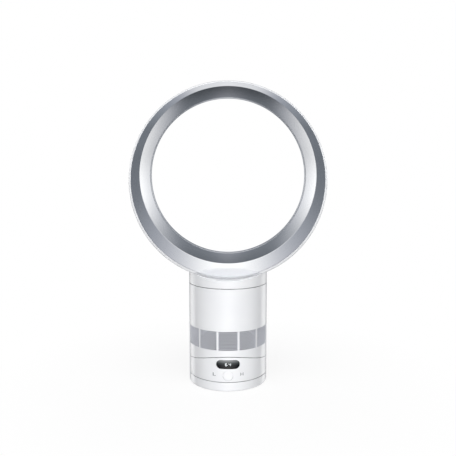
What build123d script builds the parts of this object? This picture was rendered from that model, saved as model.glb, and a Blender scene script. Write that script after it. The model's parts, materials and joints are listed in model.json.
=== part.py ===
from build123d import *
import os
from math import acos, asin, cos, degrees, pi, radians, sin, sqrt, tan

# A bladeless table fan: a lower base that stands still, an upper base that swivels on it, a fan body
# that tilts on a curved saddle, and a loop held by a bayonet. Millimetres, +Z up, front towards -Y.
# The origin is the centre of the base on the surface that it stands on.

# ---- Clearances ----------------------------------------------------------------------------------
seam_gap = 0.9            # open seam between casings that move on each other
slide_gap = 0.3           # faces that pass each other when a joint moves
seat_gap = 0.1            # a part dropped into its seat
running_gap = 0.04        # radial clearance of a shaft in its bearing
screw_gap = 0.05          # radial clearance of a screw in its hole

# ---- Pillar --------------------------------------------------------------------------------------
pillar_radius = 72.5
shell_wall = 2.5
edge_round = 0.5          # rounding of the casing edges beside a seam

foot_stand = 1.0          # how far the feet stand below the base
lower_base_height = 16.05
bottom_round = 1.8        # rounding of the bottom edge
upper_base_height = 30.05 # up to the lowest point of the tilt seam
tilt_radius = 170.0       # of the curved saddle, about the tilt axis
grille_lift = 11.4        # from the highest point of the tilt seam to the inlet band
grille_height = 34.4
upper_body_height = 76.55 # from the inlet band to the collar
collar_height = 13.55     # of the loop's collar, at its front

lower_base_top = foot_stand + lower_base_height
housing_bottom = lower_base_top + seam_gap
saddle_low = housing_bottom + upper_base_height
tilt_axis_z = saddle_low + tilt_radius
seam_high = tilt_axis_z - sqrt(tilt_radius**2 - pillar_radius**2)
grille_bottom = seam_high + grille_lift
grille_top = grille_bottom + grille_height
body_top = grille_top + upper_body_height
collar_bottom = body_top + seam_gap
shoulder_z = collar_bottom + collar_height
inner_radius = pillar_radius - shell_wall
seated_radius = inner_radius - seat_gap      # discs and rings that sit in a casing

# ---- Loop ----------------------------------------------------------------------------------------
opening_radius = 145.0    # narrowest part of the opening, at the rear lip and at the flared ring's waist
flare_width = 10.5        # from the waist out to the crest, the ring's front edge
trim_width = 18.5         # of the front trim, on average
rim_width = 4.0           # how far the casing stands outside the trim
rear_taper = 15.0         # how much narrower the casing is where it meets its flat rear
loop_drop = 8.0           # the casing's centre lies this far below the opening's centre
trim_dip = 1.0            # the trim's lowest point lies this far below the shoulder
crest_y = -48.0
trim_setback = 6.0        # the trim's outer edge lies this far behind the crest
loop_depth = 98.0
rear_flat = 5.0           # from the lip out to the rear rim
wide_front_y = -26.0      # the casing has its full radius between these two
wide_rear_y = -16.0
loop_wall = 2.5
trim_thickness = 2.0
lip_wall = 1.2
lip_tip_y = 26.0          # front end of the rear lip, at the air slot
lip_bend_y = 38.0         # where the lip starts to flare to the rear
slot_gap = 1.2            # width of the air slot
slot_overlap = 8.0        # how far the flared ring reaches behind the lip's tip
waist_y = 20.0
spacer_count = 12
spacer_width = 3.0
neck_opening_depth = 52.0 # of the air opening in the casing's underside
neck_opening_y = -9.0

lip_radius = opening_radius
waist_radius = opening_radius
crest_radius = waist_radius + flare_width
trim_radius = crest_radius + trim_width
loop_radius = trim_radius + rim_width
rear_radius = loop_radius - rear_taper
casing_centre_z = shoulder_z + trim_radius - trim_dip
opening_centre_z = casing_centre_z + loop_drop
rear_y = crest_y + loop_depth
trim_y = crest_y + trim_setback
casing_front_y = trim_y + trim_thickness

# ---- Feet, base plate and cable gland ------------------------------------------------------------
plate_thickness = 2.0
deck_thickness = 2.5
foot_count = 6
foot_radius = 7.0
foot_inset = 12.0         # from the shell's inner face to the feet's circle
foot_recess = 0.8
base_screw_count = 4
base_screw_inset = 26.0
boss_wall = 2.8
gland_bore_radius = 3.0
gland_wall = 1.4
gland_length = 14.0
gland_z = 8.6

foot_circle = inner_radius - foot_inset
base_screw_circle = inner_radius - base_screw_inset

# ---- Swivel and its drive ------------------------------------------------------------------------
hub_radius = 18.0
cable_way_radius = 8.0
thrust_radius = 41.0
thrust_width = 6.0
thrust_depth = 1.2        # how deep the thrust ring sits in the deck
floor_gap = 1.1           # between the deck and the housing floor, bridged by the thrust ring
floor_thickness = 2.5
gear_module = 0.8
sun_teeth = 64
pinion_teeth = 16
gear_width = 5.0
gear_backlash = 0.2
gear_screw_circle = 13.0
pinion_bore_radius = 1.5
motor_radius = 17.5
motor_height = 13.0
motor_ear_reach = 4.0
motor_ear_thickness = 1.5
motor_post_radius = 3.5

floor_bottom = lower_base_top + floor_gap
floor_top = floor_bottom + floor_thickness
gear_bottom = floor_top + slide_gap
gear_top = gear_bottom + gear_width
gear_centres = gear_module * (sun_teeth + pinion_teeth) / 2
motor_bottom = gear_top + 1.0

# ---- Upper base: saddle, bosses and controls -----------------------------------------------------
saddle_thickness = 2.2
housing_boss_x = 47.0     # the four bosses that join housing and floor
housing_boss_radius = 4.5
lens_width = 42.2
lens_height = 16.4
lens_z = 50.55
lens_thickness = 1.8
display_width = 16.0
display_height = 8.0
button_radius = 9.1
button_z = 29.8
button_gap = 0.25
button_travel = 0.8
button_flange = 1.2       # how far the flange reaches outside the button
button_flange_thickness = 1.3
switch_size = 6.0
switch_height = 1.5
switch_tip = 0.5
switch_tip_radius = 1.7
board_thickness = 1.6
control_board_width = 42.0
control_board_bottom = 22.5
control_board_headroom = 0.4  # under the saddle
control_screw_x = 17.0
control_screw_low = 25.5
control_screw_high = 38.5
control_screw_radius = 1.0
button_cap_depth = 3.6    # from the casing's surface to the front of the button's flange
power_board_width = 56.0
power_board_depth = 22.0
power_board_setback = 30.5  # from the casing's surface to the power board's middle
power_post_height = 8.0
power_screw_x = 24.0
power_part_x = (-12.0, 2.0, 14.0)  # capacitor, transformer and terminal block on the power board
capacitor_radius = 5.0
capacitor_height = 11.0
transformer_height = 9.0
terminal_height = 6.0

button_flange_y = -(pillar_radius - button_cap_depth)
power_board_y = -(pillar_radius - power_board_setback)
saddle_radius = tilt_radius + seam_gap / 2
saddle_under = saddle_radius + saddle_thickness
switch_top_y = button_flange_y + button_flange_thickness + button_travel + 0.2
control_board_y = switch_top_y + switch_tip + switch_height
control_board_rear = control_board_y + board_thickness
control_board_top = tilt_axis_z - sqrt(saddle_under**2 - control_board_rear**2) - control_board_headroom

# ---- Tilt runners --------------------------------------------------------------------------------
tilt_travel = 10.0        # degrees, each way
runner_x = 26.0
runner_web = 5.0
runner_head = 11.0
runner_head_thickness = 2.2
runner_half_angle = 9.0
runner_screw_angle = 5.0
body_floor_thickness = 2.5

floor_skin = tilt_radius - seam_gap / 2
floor_inside = floor_skin - body_floor_thickness
head_top = saddle_under + slide_gap

# ---- Air inlet -----------------------------------------------------------------------------------
panel_count = 12
rib_width = 3.2
panel_thickness = 1.5
panel_gap = 0.06
hole_radius = 1.9
hole_pitch = 5.5
hole_row_pitch = 5.2

# ---- Air path: impeller housing, impeller, motor and neck ----------------------------------------
ledge_thickness = 2.0
ledge_width = 4.0
mount_thickness = 2.0
flange_thickness = 2.0
duct_clearance = 6.0      # round the duct, inside the casing
shroud_flare = 18.0       # from the shroud's inlet out to its outlet
housing_wall = 2.0
shroud_height = 34.0
blade_count = 9
blade_gap = 0.8
blade_sweep = 48.0
blade_lean = 3.2          # degrees of the circle that a blade is thick
hub_nose_radius = 12.0
impeller_height = 30.0
shaft_radius = 3.0
bearing_radius = 8.0
bearing_width = 4.5
duct_width = 22.0         # of the air's path round the motor bucket
bucket_lead = 2.0         # how much wider the motor bucket is than the impeller's hub
bucket_wall = 2.5
vane_count = 13
vane_thickness = 1.4
vane_lean = 14.0          # degrees from upright
stator_wall = 22.0
stator_setback = 4.5      # its top lies this far below the motor cap's foot
stator_yoke = 6.0
stator_slot_width = 3.0
stator_slot_count = 12
rotor_gap = 0.5
cap_rise = 9.0
cap_wall = 2.0
foam_thickness = 4.0
foam_plug_radius = 50.0   # of the silencer on the floor, behind the inlet band
foam_plug_tip = 22.0
foam_plug_shoulder = 4.0  # how far above the band's foot it starts to narrow
foam_plug_clearance = 10.0  # below the impeller housing

outlet_radius = inner_radius - duct_clearance - housing_wall
inlet_radius = outlet_radius - shroud_flare
bucket_radius = outlet_radius - duct_width
hub_rear_radius = bucket_radius - bucket_lead
ledge_bottom = grille_top + 0.8
ledge_top = ledge_bottom + ledge_thickness
flange_bottom = ledge_top + mount_thickness
shroud_bottom = flange_bottom + flange_thickness
duct_bottom = shroud_bottom + shroud_height
duct_radius = outlet_radius + housing_wall
diffuser_bottom = duct_bottom + 1.0
stator_bottom = diffuser_bottom + bearing_width + 1.5
stator_radius = bucket_radius - bucket_wall - seat_gap
stator_bore = stator_radius - stator_wall

# ---- Neck and bayonet ----------------------------------------------------------------------------
seal_thickness = 2.2
spigot_wall = 2.4
spigot_clearance = 2.8    # between spigot and neck ring, where the lugs pass
lug_count = 4
lug_angle = 20.0
lug_reach = 2.2
lug_height = 2.6
lug_lift = 0.8            # from the spigot's end to the lugs
neck_setback = 0.7        # the neck ring ends this far below the casing's rim
hook_angle = 22.0
hook_height = 2.0
hook_gap = 0.4
neck_ring_wall = 3.7
collar_deck = 2.5
collar_trim_gap = 0.6     # from the collar's top to the front trim
collar_seam = 1.4         # open seam between the collar and the loop's front edge, seen under the trim
collar_seam_depth = 3.5   # how far behind the casing's front edge that seam is closed
collar_step = 0.2         # down from the collar's top into that seam
collar_ledge = 6.0        # the collar's roof is this far below the trim's edge, in front of the air opening

neck_ring_top = body_top - neck_setback
hook_bottom = neck_ring_top - hook_height
lug_bottom = hook_bottom - slide_gap - lug_height
spigot_bottom = lug_bottom - lug_lift
seal_bottom = spigot_bottom - slide_gap - seal_thickness
neck_ring_inside = seated_radius - neck_ring_wall
spigot_radius = neck_ring_inside - spigot_clearance
duct_top = seal_bottom
diffuser_top = duct_top - 3.0
stator_height = diffuser_top - stator_setback - stator_bottom
upper_bearing_bottom = stator_bottom + stator_height + 1.0

# ---- Screws --------------------------------------------------------------------------------------
screw_radius = 1.4
screw_head_radius = 2.8
screw_head_height = 1.4
housing_screw_length = 15.0
body_screw_length = 10.0
power_screw_length = 8.0
motor_screw_length = 6.0
bearing_seat_wall = 2.5
body_post_radius = 5.0
body_post_height = 12.0
screw_hole = screw_radius + screw_gap
head_hole = screw_head_radius + seat_gap

BOTTOM = (Align.CENTER, Align.CENTER, Align.MIN)


# ---- Shared shapes -------------------------------------------------------------------------------

def rod(radius, bottom, top, x=0.0, y=0.0):
    """An upright solid cylinder."""
    return Pos(x, y, bottom) * Cylinder(radius, top - bottom, align=BOTTOM)


def tube(outer, inner, bottom, top):
    """An upright ring round the pillar's axis."""
    return rod(outer, bottom, top) - rod(inner, bottom - 1, top + 1)


def round_bar(radius, y_front, y_rear, x, z):
    """A solid cylinder that lies along Y."""
    bar = Cylinder(radius, y_rear - y_front, align=BOTTOM)
    return Pos(x, y_front, z) * Rot(-90, 0, 0) * bar


def block(x_size, y_size, z_size, x, y, z):
    """A box given by its centre in x and y and its underside in z."""
    return Pos(x, y, z) * Box(x_size, y_size, z_size, align=BOTTOM)


def around(shape, count, start=0.0):
    """Copies of a shape, evenly spaced about the pillar's axis."""
    return [Rot(0, 0, start + turn * 360 / count) * shape for turn in range(count)]


def group(shapes):
    """Separate solids that share one node."""
    return Compound(children=[solid for shape in shapes for solid in shape.solids()])


def tilt_arc(x, width, inner, outer, half_angle):
    """A bar that curves about the tilt axis, centred below it."""
    section = Plane.XZ * Pos(x, tilt_axis_z - (inner + outer) / 2) * Rectangle(width, outer - inner)
    axis = Axis((0, 0, tilt_axis_z), (1, 0, 0))
    return revolve(section, axis, 2 * half_angle).rotate(axis, -half_angle)


def tilt_drum(radius):
    """A level drum about the tilt axis: its underside is the curve of the saddle."""
    return Pos(0, 0, tilt_axis_z) * Rot(90, 0, 0) * Rot(0, 90, 0) * Cylinder(radius, 4 * pillar_radius)


def seam_rounded(shape):
    """Rounds the curved edge that a drum left on a pillar-sized cylinder."""
    return fillet(shape.edges().filter_by(GeomType.BSPLINE), edge_round)


def tilt_turned(shape, angle):
    return shape.rotate(Axis((0, 0, tilt_axis_z), (1, 0, 0)), angle)


def screw(radius, head_radius, head_height, length):
    """A pan-head screw that points down, its head's underside at the origin."""
    head = Cylinder(head_radius, head_height, align=BOTTOM)
    shank = Pos(0, 0, -length) * Cylinder(radius, length, align=BOTTOM)
    return head + shank


def pillar_screw(length):
    return screw(screw_radius, screw_head_radius, screw_head_height, length)


# ---- Lower base ----------------------------------------------------------------------------------

plate_top = foot_stand + plate_thickness
deck_bottom = lower_base_top - deck_thickness


def base_screw_places():
    turns = [45 + turn * 360 / base_screw_count for turn in range(base_screw_count)]
    return [(base_screw_circle * cos(radians(a)), base_screw_circle * sin(radians(a))) for a in turns]


def make_lower_base_shell():
    shell = rod(pillar_radius, foot_stand, lower_base_top)
    shell = fillet(shell.edges().group_by(Axis.Z)[0], min(bottom_round, shell_wall * 0.9))
    shell = fillet(shell.edges().group_by(Axis.Z)[-1], edge_round)
    shell -= rod(inner_radius, foot_stand - 1, deck_bottom)
    shell += rod(hub_radius, deck_bottom, floor_top)
    for x, y in base_screw_places():
        shell += rod(screw_radius + boss_wall, plate_top, deck_bottom + 0.5, x, y)
        shell -= rod(screw_hole, plate_top - 1, deck_bottom, x, y)
    shell -= tube(thrust_radius + thrust_width / 2 + seat_gap, thrust_radius - thrust_width / 2 - seat_gap,
                  lower_base_top - thrust_depth, lower_base_top + 0.5)
    shell -= rod(cable_way_radius, deck_bottom - 1, floor_top + 1)
    for hole in around(rod(screw_hole, deck_bottom + 1, floor_top + 1, 0, -gear_screw_circle), 3):
        shell -= hole
    gland_hole = gland_bore_radius + gland_wall + seat_gap
    return shell - round_bar(gland_hole, inner_radius - 2, pillar_radius + 1, 0, gland_z)


def make_base_plate():
    plate = rod(seated_radius, foot_stand, plate_top)
    for x, y in base_screw_places():
        plate -= rod(screw_hole, foot_stand - 1, plate_top + 1, x, y)
        plate -= rod(head_hole, foot_stand - 1, foot_stand + screw_head_height, x, y)
    seat = rod(foot_radius + seat_gap, foot_stand - 1, foot_stand + foot_recess, 0, -foot_circle)
    for cut in around(seat, foot_count):
        plate -= cut
    return plate


def make_base_screws():
    length = deck_bottom - 2 - foot_stand - screw_head_height
    upright = Rot(180, 0, 0) * pillar_screw(length)
    return group([Pos(x, y, foot_stand + screw_head_height) * upright for x, y in base_screw_places()])


def make_rubber_feet():
    foot = rod(foot_radius, 0, foot_stand + foot_recess, 0, -foot_circle)
    foot = fillet(foot.edges().group_by(Axis.Z)[0], 0.5)
    return group(around(foot, foot_count))


def make_cable_gland():
    """A grommet in the rear wall: bore, barrel, and a flange behind the wall."""
    outer = gland_bore_radius + gland_wall
    rear = pillar_radius - 0.3
    front = rear - gland_length
    gland = round_bar(outer, front, rear, 0, gland_z)
    flange_rear = sqrt(inner_radius**2 - (outer + 1.2) ** 2) - seat_gap
    gland += round_bar(outer + 1.2, flange_rear - 2, flange_rear, 0, gland_z)
    return gland - round_bar(gland_bore_radius, front - 1, rear + 1, 0, gland_z)


def make_thrust_ring():
    return tube(thrust_radius + thrust_width / 2, thrust_radius - thrust_width / 2,
                lower_base_top - thrust_depth, floor_bottom - 0.2)


def involute(base_radius, radius):
    """How far an involute has turned, in radians, where it reaches a radius."""
    pressure = acos(min(1, base_radius / radius))
    return tan(pressure) - pressure


def gear_outline(teeth):
    """An involute gear's outline, with a tooth on +X."""
    pitch = gear_module * teeth / 2
    base = pitch * cos(radians(20))
    root = pitch - 1.25 * gear_module
    tip = pitch + 0.9 * gear_module
    half = (pi * gear_module / 2 - gear_backlash) / 2 / pitch + involute(base, pitch)
    flank_radii = [max(root, base + 0.02), pitch, (pitch + tip) / 2, tip]
    flank = [(r, half - involute(base, r)) for r in flank_radii]
    points = []
    for tooth in range(teeth):
        middle = 2 * pi * tooth / teeth
        corner = [(root, flank[0][1] + 0.01)] + flank
        for r, a in corner:
            points.append((r * cos(middle - a), r * sin(middle - a)))
        for r, a in reversed(corner):
            points.append((r * cos(middle + a), r * sin(middle + a)))
    return make_face(Polyline(points, close=True))


def gear_blank(teeth, bottom):
    return Pos(0, 0, bottom) * extrude(gear_outline(teeth), gear_width)


def make_sun_gear():
    gear = Rot(0, 0, 90) * gear_blank(sun_teeth, gear_bottom)
    gear -= rod(cable_way_radius, gear_bottom - 1, gear_top + 1)
    head_seat = gear_top - screw_head_height
    hole = rod(screw_hole, gear_bottom - 1, gear_top, 0, -gear_screw_circle)
    hole += rod(head_hole, head_seat, gear_top + 1, 0, -gear_screw_circle)
    for cut in around(hole, 3):
        gear -= cut
    spacer = tube(hub_radius - 0.5, cable_way_radius, floor_top, gear_bottom)
    for cut in around(rod(screw_hole, floor_top - 1, gear_bottom + 1, 0, -gear_screw_circle), 3):
        spacer -= cut
    return gear + spacer


def make_gear_screws():
    head_seat = gear_top - screw_head_height
    length = head_seat - deck_bottom - 2
    return group(around(Pos(0, -gear_screw_circle, head_seat) * pillar_screw(length), 3))


# ---- Upper base ----------------------------------------------------------------------------------

housing_boss_y = sqrt((inner_radius - housing_boss_radius + 1.0) ** 2 - housing_boss_x**2)


def housing_boss_places():
    return [(sx * housing_boss_x, sy * housing_boss_y) for sx in (-1, 1) for sy in (-1, 1)]


def control_screw_places():
    heights = (control_screw_low, control_screw_high)
    return [(side * control_screw_x, z) for side in (-1, 1) for z in heights]


def wall_y(radius, x):
    """The front of a cylinder of the pillar, at x."""
    return -sqrt(radius**2 - x**2)


def lens_prism(grow, y_front, y_rear):
    """The pill outline of the display, swept along Y and grown by a clearance."""
    pill = SlotOverall(lens_width + 2 * grow, lens_height + 2 * grow)
    return extrude(Plane.XZ.offset(-y_rear) * Pos(0, lens_z) * pill, y_rear - y_front)


def make_control_housing():
    """Casing and saddle in one: the top wall is the curved track of the tilt."""
    outside = rod(pillar_radius, housing_bottom, seam_high + 5)
    outside = fillet(outside.edges().group_by(Axis.Z)[0], edge_round)
    inside = rod(inner_radius, housing_bottom - 1, seam_high + 5) - tilt_drum(saddle_under)
    housing = seam_rounded(outside - tilt_drum(saddle_radius)) - inside
    for x, y in housing_boss_places():
        housing += rod(housing_boss_radius, floor_top, seam_high, x, y) - tilt_drum(saddle_under - 0.5)
        housing -= rod(screw_hole, floor_top - 1, floor_top + housing_screw_length + 1, x, y)
    slot_half_angle = runner_half_angle + tilt_travel + 0.7
    for side in (-1, 1):
        housing -= tilt_arc(side * runner_x, runner_web + 2 * slide_gap, saddle_radius - 2, saddle_under + 2,
                            slot_half_angle)
    for x, z in control_screw_places():
        housing += round_bar(2.6, wall_y(inner_radius + 1, x), control_board_y, x, z)
        housing -= round_bar(control_screw_radius + screw_gap, control_board_y - 4, control_board_y + 1, x, z)
    housing -= lens_prism(seat_gap, -pillar_radius - 1, -inner_radius + 6)
    return housing - round_bar(button_radius + button_gap, -pillar_radius - 1, -inner_radius + 3, 0, button_z)


def make_housing_floor():
    floor = tube(seated_radius, hub_radius + running_gap, floor_bottom, floor_top)
    for x, y in housing_boss_places():
        floor -= rod(screw_hole, floor_bottom - 1, floor_top + 1, x, y)
        floor -= rod(head_hole, floor_bottom - 1, floor_bottom + screw_head_height, x, y)
    for x, y in motor_screw_places():
        floor += rod(motor_post_radius, floor_top, motor_bottom, x, y)
        floor -= rod(screw_hole, floor_bottom + 1, motor_bottom + 1, x, y)
    for x, y in power_screw_places():
        floor += rod(screw_radius + 1.6, floor_top, floor_top + power_post_height, x, y)
        floor -= rod(screw_hole, floor_bottom + 1, floor_top + power_post_height + 1, x, y)
    notch_width = 2 * (button_radius + button_flange + 1)
    notch_rear = button_flange_y + button_flange_thickness + button_travel + slide_gap
    notch_depth = notch_rear + pillar_radius
    notch = block(notch_width, notch_depth, 3 * floor_thickness, 0, notch_rear - notch_depth / 2,
                  floor_bottom - 1)
    return floor - notch


def make_housing_screws():
    upright = Rot(180, 0, 0) * pillar_screw(housing_screw_length)
    return group([Pos(x, y, floor_bottom + screw_head_height) * upright for x, y in housing_boss_places()])


def make_display_lens():
    wall = tube(pillar_radius, pillar_radius - lens_thickness, lens_z - lens_height, lens_z + lens_height)
    return wall & lens_prism(0, -pillar_radius - 1, -inner_radius + 6)


def make_display_module():
    """The digit display, from the control board to just behind the lens."""
    front = wall_y(pillar_radius - lens_thickness, display_width / 2) + 0.25
    depth = control_board_y - front
    return block(display_width, depth, display_height, 0, front + depth / 2, lens_z - display_height / 2)


def make_control_board():
    board = block(control_board_width, board_thickness, control_board_top - control_board_bottom,
                  0, control_board_y + board_thickness / 2, control_board_bottom)
    for x, z in control_screw_places():
        board -= round_bar(control_screw_radius + screw_gap, control_board_y - 1, control_board_y + 3, x, z)
    return board


def make_control_screws():
    head = control_board_y + board_thickness
    level = Rot(-90, 0, 0) * screw(control_screw_radius, 2.0, 1.2, board_thickness + 3.0)
    return group([Pos(x, head, z) * level for x, z in control_screw_places()])


def make_button_switch():
    body = block(switch_size, switch_height, switch_size, 0, control_board_y - switch_height / 2,
                 button_z - switch_size / 2)
    return body + round_bar(switch_tip_radius, switch_top_y, control_board_y - 1, 0, button_z)


def make_power_button():
    """A round cap that follows the casing, with a flange that stops it behind the wall."""
    cap = round_bar(button_radius, -pillar_radius - 1, button_flange_y + 0.5, 0, button_z)
    cap &= rod(pillar_radius, button_z - 20, button_z + 20)
    return cap + round_bar(button_radius + button_flange, button_flange_y,
                           button_flange_y + button_flange_thickness, 0, button_z)


def power_screw_places():
    return [(side * power_screw_x, power_board_y) for side in (-1, 1)]


def make_power_board():
    bottom = floor_top + power_post_height
    board = block(power_board_width, power_board_depth, board_thickness, 0, power_board_y, bottom)
    top = bottom + board_thickness
    capacitor_x, transformer_x, terminal_x = power_part_x
    board += rod(capacitor_radius, top, top + capacitor_height, capacitor_x, power_board_y)
    board += block(12, 10, transformer_height, transformer_x, power_board_y, top)
    board += block(8, 14, terminal_height, terminal_x, power_board_y, top)
    for x, y in power_screw_places():
        board -= rod(screw_hole, bottom - 1, top + 1, x, y)
    return board


def make_power_screws():
    top = floor_top + power_post_height + board_thickness
    return group([Pos(x, y, top) * pillar_screw(power_screw_length) for x, y in power_screw_places()])


def motor_screw_places():
    reach = motor_radius + motor_ear_reach
    return [(side * reach, gear_centres) for side in (-1, 1)]


def make_oscillation_motor():
    motor = rod(motor_radius, motor_bottom, motor_bottom + motor_height, 0, gear_centres)
    motor = fillet(motor.edges().group_by(Axis.Z)[-1], 1.0)
    ear_width = 2 * (motor_radius + motor_ear_reach)
    motor += block(ear_width, 2 * motor_post_radius, motor_ear_thickness, 0, gear_centres, motor_bottom)
    for x, y in motor_screw_places():
        motor += rod(motor_post_radius, motor_bottom, motor_bottom + motor_ear_thickness, x, y)
        motor -= rod(screw_hole, motor_bottom - 1, motor_bottom + 2, x, y)
    return motor - rod(pinion_bore_radius + running_gap, motor_bottom - 1, motor_bottom + 8, 0, gear_centres)


def make_motor_screws():
    top = motor_bottom + motor_ear_thickness
    return group([Pos(x, y, top) * pillar_screw(motor_screw_length) for x, y in motor_screw_places()])


# ---- Oscillation drive ---------------------------------------------------------------------------

def make_drive_pinion():
    """A gap of the pinion, not a tooth, faces the fixed gear."""
    turn = -90 + 180 / pinion_teeth
    pinion = Pos(0, gear_centres, 0) * Rot(0, 0, turn) * gear_blank(pinion_teeth, gear_bottom)
    return pinion - rod(pinion_bore_radius + 0.01, gear_bottom - 1, gear_top + 1, 0, gear_centres)


def make_pinion_shaft():
    return rod(pinion_bore_radius, gear_bottom, motor_bottom + 7, 0, gear_centres)


# ---- Fan body ------------------------------------------------------------------------------------

rib_angle = degrees(rib_width / pillar_radius)
panel_angle = 360 / panel_count - rib_angle


def sector(radius, angle, bottom, top):
    """A wedge about the pillar's axis, centred on the front."""
    reach = radius / cos(radians(angle / 2)) + 1
    half = radians(angle / 2)
    corners = [(0, 0), (-reach * sin(half), -reach * cos(half)), (reach * sin(half), -reach * cos(half))]
    return Pos(0, 0, bottom) * extrude(make_face(Polyline(corners, close=True)), top - bottom)


def make_body_shell():
    outside = rod(pillar_radius, saddle_low - 5, body_top)
    outside = fillet(outside.edges().group_by(Axis.Z)[-1], edge_round)
    shell = seam_rounded(outside & tilt_drum(floor_skin))
    shell -= rod(inner_radius, saddle_low - 6, body_top + 1)
    shell += tube(inner_radius + 0.5, inner_radius - ledge_width, ledge_bottom, ledge_top)
    neck_ledge = seal_bottom - ledge_thickness
    shell += tube(inner_radius + 0.5, inner_radius - ledge_width, neck_ledge, seal_bottom)
    boss_foot = tilt_axis_z - floor_inside + seat_gap
    boss = rod(body_post_radius, boss_foot, boss_foot + body_post_height)
    boss -= rod(screw_hole, boss_foot - 1, boss_foot + body_screw_length - 1)
    for post in at_body_screws(boss):
        shell += post & rod(inner_radius + 1, saddle_low, grille_bottom)
    window = sector(pillar_radius, panel_angle, grille_bottom, grille_top)
    window -= rod(inner_radius - 2, 0, body_top)
    for cut in around(window, panel_count):
        shell -= cut
    return shell


def make_inlet_panels():
    """Twelve curved panels with staggered holes, set flush in the windows of the body shell."""
    edge = degrees(panel_gap / pillar_radius)
    low, high = grille_bottom + panel_gap, grille_top - panel_gap
    panel = tube(pillar_radius, pillar_radius - panel_thickness, low, high)
    panel &= sector(pillar_radius, panel_angle - 2 * edge, grille_bottom, grille_top)
    rows = int((grille_height - 2 * hole_radius - 1.0) // hole_row_pitch) + 1
    pitch_angle = degrees(hole_pitch / pillar_radius)
    room = panel_angle - degrees(2 * (hole_radius + 0.8) / pillar_radius)
    long_row = int(room // pitch_angle) + 1
    cuts = []
    for row in range(rows):
        z = (grille_bottom + grille_top) / 2 + (row - (rows - 1) / 2) * hole_row_pitch
        count = long_row - row % 2
        for hole in range(count):
            turn = (hole - (count - 1) / 2) * pitch_angle
            drill = round_bar(hole_radius, -pillar_radius - 2, -pillar_radius + 4, 0, z)
            cuts.append(Rot(0, 0, turn) * drill)
    return group(around(panel - cuts, panel_count))


def at_body_screws(shape):
    """Copies of a shape, drawn below the tilt axis, at the four screws of the body floor."""
    lean = degrees(asin(housing_boss_y / floor_skin))
    places = [(side * housing_boss_x, turn) for side in (-1, 1) for turn in (-lean, lean)]
    return [tilt_turned(Pos(x, 0, 0) * shape, turn) for x, turn in places]


def make_body_floor():
    """The convex floor that slides over the saddle."""
    floor = rod(seated_radius, saddle_low - 5, seam_high + 8) & tilt_drum(floor_skin)
    floor -= tilt_drum(floor_inside)
    head_seat = tilt_axis_z - floor_skin + screw_head_height
    hole = rod(screw_hole, head_seat - 1, head_seat + 5)
    hole += rod(head_hole, head_seat - 5, head_seat)
    for cut in at_body_screws(hole):
        floor -= cut
    for side in (-1, 1):
        for angle in (-runner_screw_angle, runner_screw_angle):
            hole = rod(screw_hole, saddle_low - 5, saddle_low + 8, side * runner_x)
            floor -= tilt_turned(hole, angle)
    return floor


def make_body_floor_screws():
    head_seat = tilt_axis_z - floor_skin + screw_head_height
    return group(at_body_screws(Pos(0, 0, head_seat) * Rot(180, 0, 0) * pillar_screw(body_screw_length)))


def make_tilt_runners():
    """T-section runners: the web passes the saddle's slot and the head holds the body down."""
    runners = []
    for side in (-1, 1):
        x = side * runner_x
        bar = tilt_arc(x, runner_web, floor_skin, head_top + 0.5, runner_half_angle)
        bar += tilt_arc(x, runner_head, head_top, head_top + runner_head_thickness, runner_half_angle)
        for angle in (-runner_screw_angle, runner_screw_angle):
            bar -= tilt_turned(rod(screw_hole, saddle_low - 3, saddle_low + 2, x), angle)
        runners.append(bar)
    return group(runners)


def make_runner_screws():
    head = tilt_axis_z - floor_inside + 0.05
    length = body_floor_thickness + 2.5
    screws = []
    for side in (-1, 1):
        for angle in (-runner_screw_angle, runner_screw_angle):
            screws.append(tilt_turned(Pos(side * runner_x, 0, head) * pillar_screw(length), angle))
    return group(screws)


def make_floor_foam():
    """A pad on the curved floor, and on it the silencer that the air passes round."""
    width = 2 * (runner_x - screw_head_radius - 2)
    pad = tilt_arc(0, width, floor_inside - 6, floor_inside - 0.05, 18)
    foot = tilt_axis_z - sqrt(floor_inside**2 - foam_plug_radius**2) + 1.5
    shoulder = grille_bottom + foam_plug_shoulder
    tip = flange_bottom - foam_plug_clearance
    plug = spun(Polyline((0, foot), (foam_plug_radius, foot), (foam_plug_radius, shoulder),
                         (foam_plug_tip, tip), (0, tip), close=True))
    return pad + plug


def make_foam_lining():
    outer = seated_radius
    return tube(outer, outer - foam_thickness, shroud_bottom + 2, seal_bottom - ledge_thickness - 1)


def shroud_curve(offset):
    """Radius of the shroud's inner face at its foot, its middle and its top."""
    return [(inlet_radius + offset, shroud_bottom),
            ((inlet_radius + outlet_radius) / 2 - 3 + offset, shroud_bottom + shroud_height / 2),
            (outlet_radius + offset, duct_bottom)]


def spun(outline):
    """A solid turned about the pillar's axis from an outline in radius and height."""
    return revolve(Plane.XZ * make_face(outline), Axis.Z)


def make_impeller_housing():
    """Inlet flange, flared shroud and straight duct in one moulding."""
    inner = shroud_curve(0)
    outer = shroud_curve(housing_wall)
    wall = spun([ThreePointArc(*inner), Line(inner[2], (outlet_radius, duct_top)),
                 Line((outlet_radius, duct_top), (duct_radius, duct_top)),
                 Line((duct_radius, duct_top), outer[2]), ThreePointArc(*reversed(outer)),
                 Line(outer[0], inner[0])])
    flange = tube(seated_radius, inlet_radius, flange_bottom, shroud_bottom + 0.2)
    return wall + flange


def make_housing_mount():
    return tube(seated_radius, inner_radius - ledge_width, ledge_top, flange_bottom)


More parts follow.
